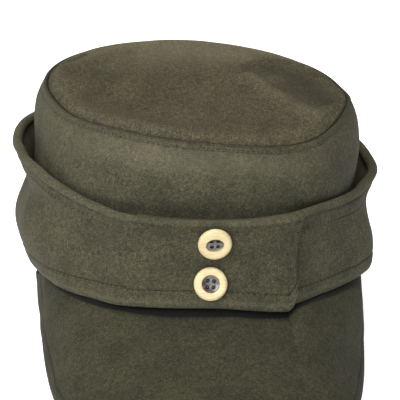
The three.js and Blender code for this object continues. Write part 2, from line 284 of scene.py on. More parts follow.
# Crown side
crownWall = {
    "clothMm": 2.4,
    "columns": 500,
    "trim": 0.015,  # share of its outline left off at the foot and at the seam
    "heights": (0, 0.25, 0.52, 0.76, 0.91, 1),  # where its outline's points are, from the rim to the seam
    "rows": {"foot": (3, 0.6), "head": (8, 0.35), "between": 46},  # over how far, and how far apart
    "seamInside": 6,  # the seam lies about this far inside the oval of the rim
    "topstitch": 2.1,  # sewn this far below the seam
    "stitchPitch": 2.3,
    "stitchDeep": 0.3,
    "stitchWide": 0.45,
    "seamPuff": 0.22,
    # painted shade in the seam and in the stitch groove, and a painted highlight on the shoulder
    "paintedShadeDark": 0.95,
    "stitchShade": 0.3,
    "rollHighlight": 0.11,
}
topSeam = {
    "radius": 0.55,
    "thinMm": 1.2,
    "thinOver": 5,
    "bendSteps": 7,
    "lipMm": (0.8, 1.6, 2.4),
    "clear": 0.08,
}  # both cloths are thinned, bent over and turned down into the seam
crownDents = [
    {"at": -6, "up": 56, "deep": 1.8, "wide": 28, "tall": 7},  # over the front of the flap
    {"at": 24, "up": 62, "deep": 0.7, "wide": 14, "tall": 9},
    {"at": -48, "up": 72, "deep": 0.5, "wide": 12, "tall": 14},
]


def wallAt(angle, share):  # outside of the wall, (out, up)
    row = readTable(crownTable, angle)
    rise = row["seamUp"] - row["rimUp"]
    shoulder = row["swell"] * (1 - row["lean"]) + row["seamOut"] * row["lean"]
    low = (row["rimOut"] + row["waist"]) / 2
    outs = (row["rimOut"], low, row["waist"], row["swell"], shoulder, row["seamOut"])
    stations = [(out, row["rimUp"] + rise * height) for out, height in zip(outs, crownWall["heights"])]
    return throughPoints(stations, crownWall["trim"] + (1 - 2 * crownWall["trim"]) * share)


angles = np.linspace(0, 360, crownWall["columns"], endpoint=False)
shares = closeRows(wallAt, angles, crownWall["rows"])
shownRows = shares.shape[1]  # the rest go down into the seam
line = wallAt(np.broadcast_to(angles[:, None], shares.shape), shares)
fromSeam = lengthAlong(line)[:, -1:] - lengthAlong(line)
pressedTo = 1 - (1 - topSeam["thinMm"] / crownWall["clothMm"]) * smooth(topSeam["thinOver"], 0, fromSeam)
half = crownWall["clothMm"] / 2 * pressedTo
line, wallCentre = turnDown(line - outwardOf(line) * half[..., None], 1, topSeam)
added = line.shape[1] - shownRows
half = np.concatenate([half, np.repeat(half[:, -1:], added, axis=1)], axis=1)
middle = roundCap(angles[:, None], line[..., 0], line[..., 1])
run = lengthAlong(middle)
belowSeam = run[:, shownRows - 1 : shownRows] - run
push = unevenness(middle) * smooth(0, 12, belowSeam)  # the seam itself stays true
turned = (angles[:, None] + 180) % 360 - 180
for dent in crownDents:
    across = bump(turned, dent["at"], dent["wide"])
    push -= dent["deep"] * across * bump(line[..., 1], dent["up"], dent["tall"])
middle = middle + facing(middle, True) * push[..., None]
seamGirth = np.radians(angles[:, None]) * (ovalRadius(angles[:, None]) - crownWall["seamInside"])
pucker = 0.75 + 0.25 * np.sin(2 * math.pi * seamGirth / crownWall["stitchPitch"])
stitchDip = bump(belowSeam, crownWall["topstitch"], crownWall["stitchWide"])
relief = -crownWall["stitchDeep"] * stitchDip * pucker + crownWall["seamPuff"] * bump(belowSeam, 0.3, 1.0)
# painted shade in the seam and along the stitch groove
pressed = crownWall["paintedShadeDark"] * bump(belowSeam, -1.4, 1.0) + crownWall["stitchShade"] * stitchDip
pressed -= crownWall["rollHighlight"] * bump(belowSeam, 8, 7) * bump(turned, -8, 40)  # a painted highlight on the shoulder's front
wall, wallFace = clothPiece("crown_side", middle, half, relief, pressed, closed=True, innerEvery=2)
print("crown side:", len(wall.data.polygons), "faces")

# Crown top
crownTop = {
    "clothMm": 2.4,
    "rise": -1.2,  # it sags a little in its middle
    "edgeUp": 0.9,  # its edge stands this far above the wall's
    "rollUp": 2.0,  # a soft roll all round, just inside the seam
    "rollWide": 4.5,
    "rollFade": (34, 9),  # it dies out between these distances from the seam
    "foldFade": 0.93,  # and the folds from this share of the way out
    "waves": 0.8,
    "poleShare": 0.006,
    "rows": 60,
    "edgeRows": (7, 0.4),  # closer over this distance from the seam, and how far apart
    # painted shade in the seam, a painted highlight on the roll inside it and a painted highlight towards
    # the back
    "paintedShadeDark": 0.75,
    "rollHighlight": 0.04,
    "backHighlight": 0.15,
}
topFolds = [  # soft ridges and hollows along lines of points: how wide, how high, and how much painted shade darkens them, below zero a painted highlight
    {"along": ((-74, 8), (-57, 31), (-46, 48), (-36, 61)), "wide": 4.5, "high": 2.6, "darker": -0.04},
    {"along": ((-74, 18), (-69, 30), (-59, 48)), "wide": 4.0, "high": -1.4, "darker": 0.3},
    {"along": ((31, 18), (40, -15), (52, -56)), "wide": 5.5, "high": 2.8, "darker": -0.06},
    {"along": ((46, 40), (58, 16), (61, -12), (63, -36)), "wide": 10.0, "high": -2.6, "darker": 0.5},
    {"along": ((-6, -48), (20, -54)), "wide": 14.0, "high": 0.5, "darker": 0},
]


def nearLine(points, corners):  # distance from a line of points in the plane of the top
    nearest = np.full(points.shape[:-1], np.inf)
    for a, b in zip(np.array(corners[:-1], float), np.array(corners[1:], float)):
        t = np.clip(((points - a) @ (b - a)) / ((b - a) @ (b - a)), 0, 1)
        nearest = np.minimum(nearest, np.linalg.norm(points - a - t[..., None] * (b - a), axis=-1))
    return nearest


row = readTable(crownTable, angles)
topHalf = crownTop["clothMm"] / 2
reachOut = topSeam["radius"] + topSeam["thinMm"] / 2
edgeRadius = ovalRadius(angles) + wallCentre[:, 0] - 2 * reachOut - topSeam["clear"]
heading = roundCap(angles, 1 - ovalRadius(angles), 0)[:, :2]
edgeFlat = heading * edgeRadius[:, None]
edgeUp = row["seamUp"] + crownTop["edgeUp"] - topHalf
plane, *_ = np.linalg.lstsq(np.column_stack([edgeFlat, np.ones(len(angles))]), edgeUp, rcond=None)
offPlane = edgeUp - np.column_stack([edgeFlat, np.ones(len(angles))]) @ plane
steps = np.concatenate([[crownTop["poleShare"]], np.linspace(0.02, 1, crownTop["rows"])])
inside = steps * (edgeRadius[:, None] - sum(crownTop["edgeRows"]))
radial = np.concatenate([inside, edgeRadius[:, None] - evenly(*crownTop["edgeRows"])[::-1]], axis=1)
share = radial / edgeRadius[:, None]
notAtEdge = smooth(1, crownTop["foldFade"], share)
spot = heading[:, None] * radial[..., None]
up = spot @ plane[:2] + plane[2] + offPlane[:, None] * share**3 + crownTop["rise"] * (1 - share**2)
for fold in topFolds:
    up += fold["high"] * bump(nearLine(spot, fold["along"]), 0, fold["wide"]) * notAtEdge
toEdge = edgeRadius[:, None] - radial
up += crownTop["rollUp"] * smooth(0, crownTop["rollWide"], toEdge) * smooth(*crownTop["rollFade"], toEdge)
line = np.stack([radial, up], axis=-1)
pressedTo = 1 - (1 - topSeam["thinMm"] / crownTop["clothMm"]) * smooth(topSeam["thinOver"], 0, toEdge)
half = topHalf * pressedTo
line[..., 1] += topHalf - half  # the cloth is pressed from below
line, _ = turnDown(line, -1, topSeam)
added = line.shape[1] - radial.shape[1]
half = np.concatenate([half, np.repeat(half[:, -1:], added, axis=1)], axis=1)
middle = np.concatenate([heading[:, None] * line[..., :1], line[..., 1:]], axis=-1)
middle[:, 0] = middle[:, 0].mean(axis=0)
still = np.concatenate([smooth(1, 0.9, share), np.zeros((len(angles), added))], axis=1)
middle[..., 2] += unevenness(middle) * crownTop["waves"] * still
run = lengthAlong(middle)
fromSeam = run[:, radial.shape[1] - 1 : radial.shape[1]] - run
# painted shade in the seam and a painted highlight on the roll beside it
pressed = crownTop["paintedShadeDark"] * bump(fromSeam, -1.4, 0.9) - crownTop["rollHighlight"] * bump(fromSeam, 5, 4)
# painted shade in the hollows, painted highlight on the ridges and towards the back
shade = sum(fold["darker"] * bump(nearLine(spot, fold["along"]), 0, fold["wide"]) for fold in topFolds)
shade = shade * notAtEdge - crownTop["backHighlight"] * smooth(15, 75, spot[..., 1])
pressed[:, : radial.shape[1]] += shade
top, _ = clothPiece(
    "crown_top_panel", middle, half, 0 * run, pressed, closed=True, pole=True, innerEvery=2
)
print("crown top:", len(top.data.polygons), "faces")

# Flap
flap = {
    "clothMm": 3.2,
    "rimMm": 4.9,  # thicker along its upper edge, where two layers are turned in
    "columns": 340,
    "endColumns": 9,  # closer over this many degrees at both ends
    "endDegrees": 1.6,
    "trim": 0.03,  # share of its outline left off at the foot and at the head
    "heights": (0, 0.35, 0.71, 1),  # of its foot, belly, waist and head
    "rows": {"foot": (9, 0.35), "head": (20, 0.4), "between": 20},
    "offOval": 4,  # about how far out it lies
    "overlapEnd": 22.5,  # degrees, like the next two
    "overlapLean": 2.4,  # the end leans back by this from its foot to its head
    "underlapEnd": -20,
    "underlapShort": 3.5,  # the hem of the half below is this much higher
    "liftMm": 3.5,  # the half on top climbs by this
    "liftOver": 10,  # over this many degrees
    "cornerWide": 5.5,
    "cornerTall": 7.5,
    "heightMm": 45,
    "backSeam": 179.8,
    "curl": 1.8,  # its upper edge curls back in
    "rimStitch": (4.9, 7.0),  # below the upper edge, on the half on top and on the other
    "rimCrease": 1.3,
    "endStitch": 4.6,  # inside the end of the half on top
    "stitchPitch": 2.7,
    "stitchDeep": 0.45,
    "creaseDeep": 0.7,
    "dipDeep": 1.0,  # a softer, wider dip below the rim at the front
    # painted shade in the stitch grooves, the rim crease and the end row, and painted highlight along both
    # edges
    "stitchShade": 0.5,
    "creaseShade": 0.6,
    "endStitchShade": 0.15,
    "headHighlight": 0.04,  # painted highlight along both edges
    "footHighlight": 0.06,
}
hemStitch = {"side": 7.3, "front": 6.2, "under": 5.1, "frontFrom": -20.7}  # above the lower edge


def flapAt(angle, share):  # inside of the flap, (out, up)
    row = readTable(flapTable, angle)
    rise = row["headUp"] - row["footUp"]
    outs = (row["footOut"], row["bellyOut"], row["waistOut"], row["headOut"])
    stations = [(out, row["footUp"] + rise * height) for out, height in zip(outs, flap["heights"])]
    return throughPoints(stations, flap["trim"] + (1 - 2 * flap["trim"]) * share)


def endRounding(distance, half):  # share of the thickness left near a rounded end
    inside = np.clip(1 - distance / half, 0, 1)
    return np.sqrt(np.maximum(1 - inside**2, 0))


def flapHalf(name, columnAngles, shares, cut, lift, nearEnds, hem, rimRow, endRow):
    # cut is the share taken off at its foot; hem and rimRow are where its rows of stitches run
    share = cut + (1 - cut) * shares
    line = flapAt(columnAngles, share)
    run = lengthAlong(line)
    fromHead = run[:, -1:] - run
    atSides = smooth(20, 45, np.abs(columnAngles))
    cloth = flap["clothMm"] / 2
    rim = (flap["rimMm"] / 2 - cloth) * smooth(2.6, 0.9, fromHead) * (0.5 + 0.5 * atSides)
    line = line + outwardOf(line) * (cloth + lift)[..., None]
    line[..., 0] -= flap["curl"] * smooth(6, 0, fromHead) * atSides
    middle = roundCap(columnAngles, line[..., 0], line[..., 1])
    middle = middle + facing(middle) * unevenness(middle)[..., None]
    half = (cloth + rim) * endRounding(nearEnds, cloth)
    hemGroove = bump(run, hem, 0.45)
    rimGroove = bump(fromHead, rimRow, 0.5) * atSides
    crease = bump(fromHead, flap["rimCrease"], 0.5)
    relief = -flap["stitchDeep"] * (hemGroove + rimGroove) - 0.25 * endRow
    relief -= flap["creaseDeep"] * crease * (0.4 + 0.6 * atSides)
    relief += 0.25 * smooth(hem, hem - 1.2, run) + 0.3 * bump(fromHead, 3, 1.0) * atSides
    relief += (0.5 * bump(fromHead, 1.6, 1.3) - flap["dipDeep"] * bump(fromHead, 5.6, 2.4)) * (1 - atSides)
    relief *= np.clip(half / cloth, 0, 1) * smooth(0, 0.6, run) * smooth(-0.1, 0.5, fromHead)
    # painted shade in the grooves and the crease, painted highlight along the upper edge and the foot
    pressed = flap["stitchShade"] * (hemGroove + rimGroove) + flap["endStitchShade"] * endRow
    pressed += flap["creaseShade"] * crease * (0.3 + 0.7 * atSides)
    pressed -= flap["headHighlight"] * bump(fromHead, 0, 0.9) + flap["footHighlight"] * bump(run, 1.2, 1.4)
    return clothPiece(name, middle, half, relief, pressed)


def columnsBetween(start, end):  # shares along a half, with close columns at both ends
    quarter = np.linspace(0, math.pi / 2, flap["endColumns"])
    near = flap["endDegrees"] / abs(end - start) * (1 - np.cos(quarter))
    inside = np.linspace(near[-1], 1 - near[-1], flap["columns"])
    return np.concatenate([near[:-1], inside, 1 - near[:-1][::-1]])[:, None]


u = columnsBetween(-flap["backSeam"], flap["overlapEnd"])
meanAngles = -flap["backSeam"] + (flap["overlapEnd"] + flap["backSeam"]) * u[:, 0]
shares = closeRows(flapAt, meanAngles, flap["rows"])
overEnd = flap["overlapEnd"] - flap["overlapLean"] / 2 + flap["overlapLean"] * smooth(0.35, 1, shares)
columnAngles = -flap["backSeam"] + (overEnd + flap["backSeam"]) * u
radiusHere = ovalRadius(columnAngles) + flap["offOval"]
fromEnd = np.radians(overEnd - columnAngles) * radiusHere
fromBack = np.radians(columnAngles + flap["backSeam"]) * radiusHere
corner = np.clip(1 - fromEnd[:, :1] / flap["cornerWide"], 0, 1)
cut = flap["cornerTall"] / flap["heightMm"] * corner**1.4
climbed = flap["underlapEnd"] - 2
lift = smooth(climbed - flap["liftOver"], climbed, columnAngles) * flap["liftMm"]
overHem = np.where(columnAngles < hemStitch["frontFrom"], hemStitch["side"], hemStitch["front"])
endRow = bump(fromEnd, flap["endStitch"], 0.45) * smooth(0.1, 0.2, shares)
nearEnds = np.minimum(fromEnd, fromBack)
overHalf, overFace = flapHalf(
    "flap_over", columnAngles, shares, cut, lift, nearEnds, overHem, flap["rimStitch"][0], endRow
)
overAngles, clearOfEnd = columnAngles[:, 0], fromEnd[:, 20] > 6

u = columnsBetween(flap["underlapEnd"], flap["backSeam"])
meanAngles = flap["underlapEnd"] + (flap["backSeam"] - flap["underlapEnd"]) * u[:, 0]
shares = closeRows(flapAt, meanAngles, flap["rows"])
columnAngles = np.broadcast_to(meanAngles[:, None], shares.shape)
radiusHere = ovalRadius(columnAngles) + flap["offOval"]
fromEnd = np.radians(columnAngles - flap["underlapEnd"]) * radiusHere
fromBack = np.radians(flap["backSeam"] - columnAngles) * radiusHere
cut = flap["underlapShort"] / flap["heightMm"] * (1 - smooth(20, 60, columnAngles))
nearEnds = np.minimum(fromEnd, fromBack)
none = 0 * columnAngles
underHalf, underFace = flapHalf(
    "flap_under", columnAngles, shares, cut, none, nearEnds, hemStitch["under"], flap["rimStitch"][1], none
)
underAngles = columnAngles[:, 0]
print("flap:", len(overHalf.data.polygons) + len(underHalf.data.polygons), "faces")

# Peak
peakShape = {
    "thickMm": 4.4,
    "edgeMm": 2.6,
    "thinOver": 14,  # it thins towards its edge over this distance
    "rootOut": 0.3,
    "rootUp": 1.4,
    "slopeDegrees": 29,
    "hemGap": 1.0,  # it rises under the hem of the flap, and leaves only a narrow dark gap there
    "riseOver": 44,
    "hemShadowReach": 0.1,  # painted shadow under the hem, as far as this from its outside
    "hemShadowDark": 0.97,
    "hemShadowSides": 0.2,  # and less so at the sides
    "rootAngle": 76,
    "halfWidth": 83.5,
    "taper": 0.178,
    "back": -18,
    "front": -172,
    "skew": 0.044,  # its outline leans sideways, forward of this line
    "straightAt": -92.6,
    "squareness": 3.7,
    "columns": 320,
    "edgeRows": (7, 0.35),  # closer over this distance from the edge, and how far apart
    "outerRows": 36,
    "hemRows": 44,  # closer again near the hem
    "hemRowsFrom": 0.72,
    "edgeStitch": 3.4,
    "stitchPitch": 2.7,
    "stitchDeep": 0.3,
    # painted shade in the stitch groove, along the edge and along the left edge
    "stitchShade": 0.45,
    "edgeShade": 0.3,
    "leftEdgeShade": 0.3,  # painted shade along its left edge, which takes less light
}
across = np.sin(np.linspace(-1, 1, peakShape["columns"]) * math.pi / 2 * 0.999)
rootAngles = across * peakShape["rootAngle"]
row = readTable(crownTable, rootAngles)
root = roundCap(rootAngles, row["rimOut"] + peakShape["rootOut"], row["rimUp"] + peakShape["rootUp"])
s, c = np.sin(across * math.pi / 2), np.maximum(np.cos(across * math.pi / 2), 0)
power = 2 / peakShape["squareness"]
forward = c**power
x = peakShape["halfWidth"] * np.sign(s) * np.abs(s) ** power * (1 - peakShape["taper"] * forward)
y = peakShape["back"] + (peakShape["front"] - peakShape["back"]) * forward
edge = np.stack([x + peakShape["skew"] * (y - peakShape["straightAt"]), y], axis=-1)
reach = np.linalg.norm(edge - root[:, :2], axis=-1)
edgeHalf = peakShape["edgeMm"] / 2
length = np.maximum(reach - edgeHalf, 0.2)[:, None]
nearEdge = evenly(*peakShape["edgeRows"])[None] * np.minimum(1, length / 40)
outerRows = np.linspace(0, peakShape["hemRowsFrom"], peakShape["outerRows"])[1:]
hemRows = np.linspace(peakShape["hemRowsFrom"], 1, peakShape["hemRows"])[1:]
shares = np.concatenate([outerRows, hemRows])
rest = nearEdge[:, -1:] + (length - nearEdge[:, -1:]) * shares
fromEdge = np.concatenate([nearEdge, rest], axis=1)  # along the flat of the peak
out = length - fromEdge
outward = ((edge - root[:, :2]) / np.maximum(reach, 1e-6)[:, None])[:, None]
half = edgeHalf + (peakShape["thickMm"] / 2 - edgeHalf) * smooth(0, peakShape["thinOver"], fromEdge)
fall = math.tan(math.radians(peakShape["slopeDegrees"]))
hem = readTable(flapTable, rootAngles)
pastLap = smooth(flap["overlapEnd"] - 2, flap["overlapEnd"] + 1, rootAngles)
onUnder = pastLap * (1 - smooth(20, 60, rootAngles))
hemUp = hem["footUp"] - 0.4 + flap["underlapShort"] * onUnder
radially = roundCap(rootAngles, 1 - ovalRadius(rootAngles), 0)[:, :2]
aslant = np.sqrt(np.maximum((outward[:, 0] * radially).sum(axis=1), 0.5))
hemOut = (hem["footOut"] + flap["clothMm"] / 2) / aslant
toSide = np.abs(rootAngles)
room = hemUp - peakShape["hemGap"] - (root[:, 2] - fall * hemOut)
room = np.maximum(room, 0)[:, None] * smooth(72, 60, toSide)[:, None]
upper = root[:, 2:] - fall * out + room * smooth(peakShape["riseOver"], 6, out)
middle = np.concatenate([root[:, None, :2] + outward * out[..., None], (upper - half)[..., None]], axis=-1)
run = lengthAlong(middle)
middle = middle + facing(middle) * (unevenness(middle) * smooth(0, 10, run))[..., None]
tangent = unit(np.gradient(edge, axis=0))
slant = np.abs(outward[:, 0, 0] * tangent[:, 1] - outward[:, 0, 1] * tangent[:, 0])
inward = run * slant[:, None]  # square to the edge
groove = bump(inward, peakShape["edgeStitch"], 0.5) * smooth(10, 30, length)
# painted shadow under the hem of the flap, near black at the front and fainter at the sides
hemShadowReach = (hem["footOut"] + flap["clothMm"]) / aslant + peakShape["hemShadowReach"]
dark, pale = peakShape["hemShadowDark"], peakShape["hemShadowSides"]
paintedShade = dark + (pale - dark) * smooth(42, 64, toSide)
# painted shade along the left edge, in the stitch groove and along the rim
leftEdgeShading = peakShape["leftEdgeShade"] * smooth(14, 3, inward) * smooth(0, 60, rootAngles)[:, None]
pressed = peakShape["stitchShade"] * groove + peakShape["edgeShade"] * smooth(5, 0.4, inward) + leftEdgeShading
pressed = np.maximum(pressed, smooth(0.5, -0.5, out - hemShadowReach[:, None]) * paintedShade[:, None])
half[[0, -1]] = 0  # closed at both ends
peak, peakFace = clothPiece("peak_cloth", middle, half, -peakShape["stitchDeep"] * groove, pressed)
print("peak:", len(peak.data.polygons), "faces")

# Sewing: short raised stitches of thread, each one modelled once and laid along its row
sewing = {
    "threadMm": 0.5,
    "longMm": 2.0,
    "sunkMm": 0.12,
    "unevenMm": 0.12,
    "seed": 11,
}
bpy.ops.object.select_all(action="DESELECT")
bpy.ops.mesh.primitive_uv_sphere_add(segments=8, ring_count=6, radius=0.001)
stitch = bpy.context.object
bpy.ops.object.mode_set(mode="EDIT")
bpy.ops.transform.resize(value=(sewing["threadMm"] / 2, sewing["threadMm"] / 2, sewing["longMm"] / 2))
bpy.ops.object.mode_set(mode="OBJECT")
bpy.ops.object.shade_smooth()


def lineOn(face, coordinate, wanted, columns=slice(None)):
    # points and facings on a cloth's face where a rising coordinate has the wanted value
    found = {"points": [], "normal": []}
    for part, kept in found.items():
        for grid, rising in zip(face[part][columns], coordinate[columns]):
            kept.append([np.interp(wanted, rising, grid[:, k]) for k in range(3)])
    return np.array(found["points"]), unit(np.array(found["normal"]))


def sew(name, points, normals, pitch):
    run = np.concatenate([[0], np.cumsum(np.linalg.norm(np.diff(points, axis=0), axis=-1))])
    places = np.arange(pitch / 2, run[-1] - pitch / 3, pitch)
    draw = np.random.default_rng(sewing["seed"])
    at = np.stack([np.interp(places, run, points[:, k]) for k in range(3)], axis=-1)
    ahead = np.stack([np.interp(places + 0.4, run, points[:, k]) for k in range(3)], axis=-1)
    back = np.stack([np.interp(places - 0.4, run, points[:, k]) for k in range(3)], axis=-1)
    normal = unit(np.stack([np.interp(places, run, normals[:, k]) for k in range(3)], axis=-1))
    at = at - normal * sewing["sunkMm"]
    copies = []
    for spot, way, out in zip(at, unit(ahead - back), normal):
        spot = spot + way * draw.normal(0, sewing["unevenMm"])
        side = unit(np.cross(out, way))
        tip = standUp(np.stack([spot, spot + side, spot + out, spot + way]))
        turn = Matrix(((tip[1:] - tip[0]) * 1000).T.tolist()).to_4x4()
        copy = bpy.data.objects.new(name, stitch.data.copy())
        copy.data.transform(Matrix.Translation(tip[0]) @ turn)
        bpy.context.collection.objects.link(copy)
        copies.append(copy)
    return joined(name, copies)


def pick(pieces):  # selects only these, with the first one active
    bpy.ops.object.select_all(action="DESELECT")
    for piece in pieces:
        piece.select_set(True)
    bpy.context.view_layer.objects.active = pieces[0]


def joined(name, copies):
    pick(copies)
    if len(copies) > 1:
        bpy.ops.object.join()
    whole = bpy.context.object
    whole.name = whole.data.name = name
    return whole


run = lengthAlong(wallFace["points"])[:, :shownRows]
shown = {part: grid[:, :shownRows] for part, grid in wallFace.items()}
points, normals = lineOn(shown, run - run[:, -1:], -crownWall["topstitch"])
closedRow = [np.concatenate([part, part[:1]]) for part in (points, normals)]
threads = [sew("top_seam_stitches", *closedRow, crownWall["stitchPitch"])]

run = lengthAlong(overFace["points"])
sideHem = lineOn(overFace, run, hemStitch["side"], overAngles < hemStitch["frontFrom"])
frontHem = lineOn(overFace, run, hemStitch["front"], (overAngles > hemStitch["frontFrom"]) & clearOfEnd)
threads.append(sew("hem_stitches_side", *sideHem, flap["stitchPitch"]))
threads.append(sew("hem_stitches_front", *frontHem, flap["stitchPitch"]))
rimRow = lineOn(overFace, run - run[:, -1:], -flap["rimStitch"][0], overAngles < -25)
threads.append(sew("rim_stitches_over", *rimRow, flap["stitchPitch"]))
run = lengthAlong(underFace["points"])
underHem = lineOn(underFace, run, hemStitch["under"], underAngles > 19)
threads.append(sew("hem_stitches_under", *underHem, flap["stitchPitch"]))
rimRow = lineOn(underFace, run - run[:, -1:], -flap["rimStitch"][1], underAngles > 25)
threads.append(sew("rim_stitches_under", *rimRow, flap["stitchPitch"]))
run = lengthAlong(peakFace["points"])
peakRow = lineOn(peakFace, run, peakShape["edgeStitch"], length[:, 0] > 24)
threads.append(sew("peak_stitches", *peakRow, peakShape["stitchPitch"]))

# A small tack of a few crossed stitches where a row starts or stops
tacks = [{"at": -20.9, "up": 6.0}, {"at": 19.4, "up": 9.6}]
knots = []
run = lengthAlong(overFace["points"])
for tack in tacks:
    near = np.argsort(np.abs(overAngles - tack["at"]))[:1]
    spot, out = lineOn(overFace, run, tack["up"], near)
    for k, lean in enumerate((-0.5, 0.1, 0.7)):
        side = unit(np.cross(out[0], [0, 0, 1]))
        way = unit(side * math.cos(lean) + np.array([0, 0, 1]) * math.sin(lean))
        ends = np.stack([spot[0] - way * 1.3, spot[0] + way * 1.3]) + side * 0.2 * k
        knots.append(sew("knot", ends, np.stack([out[0], out[0]]), 2.0))
threads.append(joined("row_tacks", knots))
bpy.data.objects.remove(stitch)
print("stitches:", sum(len(row.data.polygons) for row in threads), "faces")

# Buttons: a rounded bone ring round a dished four-hole centre of horn, sewn on through it
button = {
    "radius": 7.6,
    "thick": 3.2,
    "edge": 1.35,  # rounding of its outer edge
    "dish": 4.05,
    "lip": 0.45,  # and of the edge of the dish
    "centreThick": 1.5,
    "hole": 0.92,
    "holeOut": 1.42,
    "segments": 96,
    "dishSteps": ((0.35, -0.02), (0.5, -0.2), (0.6, -0.16), (0.6, -0.08), (0.6, -0.03)),  # in and down
    "shank": 1.5,
    "shankBelow": 1.6,  # its top below the face of the centre
    "strand": 0.5,
    "strandBelow": 1.3,
    "intoCloth": 1.4,
}
buttonSeats = [  # where each looks, how far its centre is sunk, and how it hangs off the cloth
    {
        "name": "upper",
        "lookUp": -15,
        "lookLeft": 0,
        "spin": 4,
        "oval": 0.8,
        "sunk": 1.3,
        "offMm": 1.8,
        "moveMm": (0, 0, 0),
    },
    {
        "name": "lower",
        "lookUp": 17,
        "lookLeft": -1,
        "spin": -4,
        "oval": 1,
        "sunk": 0.75,
        "offMm": 0.2,
        "moveMm": (0.7, 0, -0.4),
    },
]


def choose(piece, kind, test):  # selects faces or edges in edit mode by their place
    edit = bmesh.from_edit_mesh(piece.data)
    for part in (*edit.verts, *edit.edges, *edit.faces):
        part.select = False
    for part in getattr(edit, kind):
        if test(part):
            part.select_set(True)
    bmesh.update_edit_mesh(piece.data)


def startCylinder(name, radius, deep, up=0, at=(0, 0), segments=None):
    bpy.ops.object.select_all(action="DESELECT")
    bpy.ops.mesh.primitive_cylinder_add(
        vertices=segments or button["segments"],
        radius=radius / 1000,
        depth=deep / 1000,
        location=(at[0] / 1000, at[1] / 1000, up / 1000),
    )
    piece = bpy.context.object
    piece.name = piece.data.name = name
    bpy.ops.object.transform_apply(location=True, rotation=True, scale=True)
    return piece


def edgesAt(radius, height):  # edges of a turned piece at this radius and height, in millimetres
    def test(edge):
        outs = [math.hypot(corner.co.x, corner.co.y) * 1000 for corner in edge.verts]
        ups = [abs(corner.co.z) * 1000 for corner in edge.verts]
        return all(abs(out - radius) < 0.05 for out in outs) and all(abs(up - height) < 0.02 for up in ups)

    return test


def seatMatrix(seat):
    low, high = (Vector(corner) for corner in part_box("button_rim_" + seat["name"]))
    a, b = math.radians(seat["lookUp"] - capStand["tipDegrees"]), math.radians(seat["lookLeft"])
    out = Vector((math.sin(b) * math.cos(a), -math.cos(b) * math.cos(a), math.sin(a)))
    side = Vector((0, 0, 1)).cross(out).normalized()
    turn = Matrix((side, out.cross(side), out)).transposed().to_4x4()
    place = (low + high) / 2 + out * seat["offMm"] / 1000 + Vector(seat["moveMm"]) / 1000
    return Matrix.Translation(place) @ turn @ Matrix.Rotation(math.radians(seat["spin"]), 4, "Z")


def boneRing(seat):
    ring = startCylinder("bone_ring_" + seat["name"], button["radius"], button["thick"])
    bpy.ops.object.mode_set(mode="EDIT")
    bpy.ops.mesh.select_mode(type="FACE")
    choose(ring, "faces", lambda face: abs(face.normal.z) > 0.9)
    bpy.ops.mesh.inset(thickness=(button["radius"] - button["dish"]) / 1000)
    bpy.ops.mesh.bridge_edge_loops()
    bpy.ops.mesh.select_mode(type="EDGE")
    choose(ring, "edges", edgesAt(button["radius"], button["thick"] / 2))
    bpy.ops.mesh.bevel(offset=button["edge"] / 1000, segments=8, affect="EDGES")
    choose(ring, "edges", edgesAt(button["dish"], button["thick"] / 2))
    bpy.ops.mesh.bevel(offset=button["lip"] / 1000, segments=5, affect="EDGES")
    inside = (button["dish"] + button["lip"] + 0.1) / 1000
    choose(ring, "verts", lambda corner: math.hypot(corner.co.x, corner.co.y) < inside)
    bpy.ops.transform.resize(value=(1, seat["oval"], 1))
    bpy.ops.object.mode_set(mode="OBJECT")
    return ring


def hornCentre(seat):
    face = button["thick"] / 2 - seat["sunk"]
    deep = button["centreThick"]
    centre = startCylinder("horn_centre_" + seat["name"], button["dish"] - 0.02, deep, face - deep / 2)
    bpy.ops.object.mode_set(mode="EDIT")
    bpy.ops.mesh.select_mode(type="FACE")
    choose(centre, "faces", lambda part: part.normal.z > 0.9)
    for thickness, depth in button["dishSteps"]:
        bpy.ops.mesh.inset(thickness=thickness / 1000, depth=depth / 1000)
    bpy.ops.object.mode_set(mode="OBJECT")
    out = button["holeOut"]
    drills = [
        startCylinder("drill", button["hole"], 6, 0, (x, y), 24) for x in (-out, out) for y in (-out, out)
    ]
    drill = joined("drill", drills)
    pick([centre])
    holes = centre.modifiers.new("holes", "BOOLEAN")
    holes.operation = "DIFFERENCE"
    holes.solver = "EXACT"
    holes.object = drill
    bpy.ops.object.modifier_apply(modifier="holes")
    bpy.data.objects.remove(drill)
    return centre


def buttonThread(seat):
    face = button["thick"] / 2 - seat["sunk"]
    back, out = -button["thick"] / 2 - seat["offMm"] - button["intoCloth"], button["holeOut"]
    top = face - button["shankBelow"]
    parts = [startCylinder("shank", button["shank"], top - back, (top + back) / 2, segments=24)]
    top = face - button["strandBelow"]
    for x in (-out, out):
        for y in (-out, out):
            strand = startCylinder("strand", button["strand"], top - back, (top + back) / 2, (x, y), 12)
            parts.append(strand)
    return joined("button_thread_" + seat["name"], parts)


buttonPieces = []
for seat in buttonSeats:
    trio = (boneRing(seat), hornCentre(seat), buttonThread(seat))
    for piece in trio:
        piece.data.transform(seatMatrix(seat))
        pick([piece])
        bpy.ops.object.shade_smooth_by_angle(angle=math.radians(35))
    buttonPieces.append(trio)
print("buttons:", len(buttonPieces))


# Materials
def linear(hexColour):
    parts = [int(hexColour[k : k + 2], 16) / 255 for k in (1, 3, 5)]
    return [p / 12.92 if p <= 0.04045 else ((p + 0.055) / 1.055) ** 2.4 for p in parts] + [1]


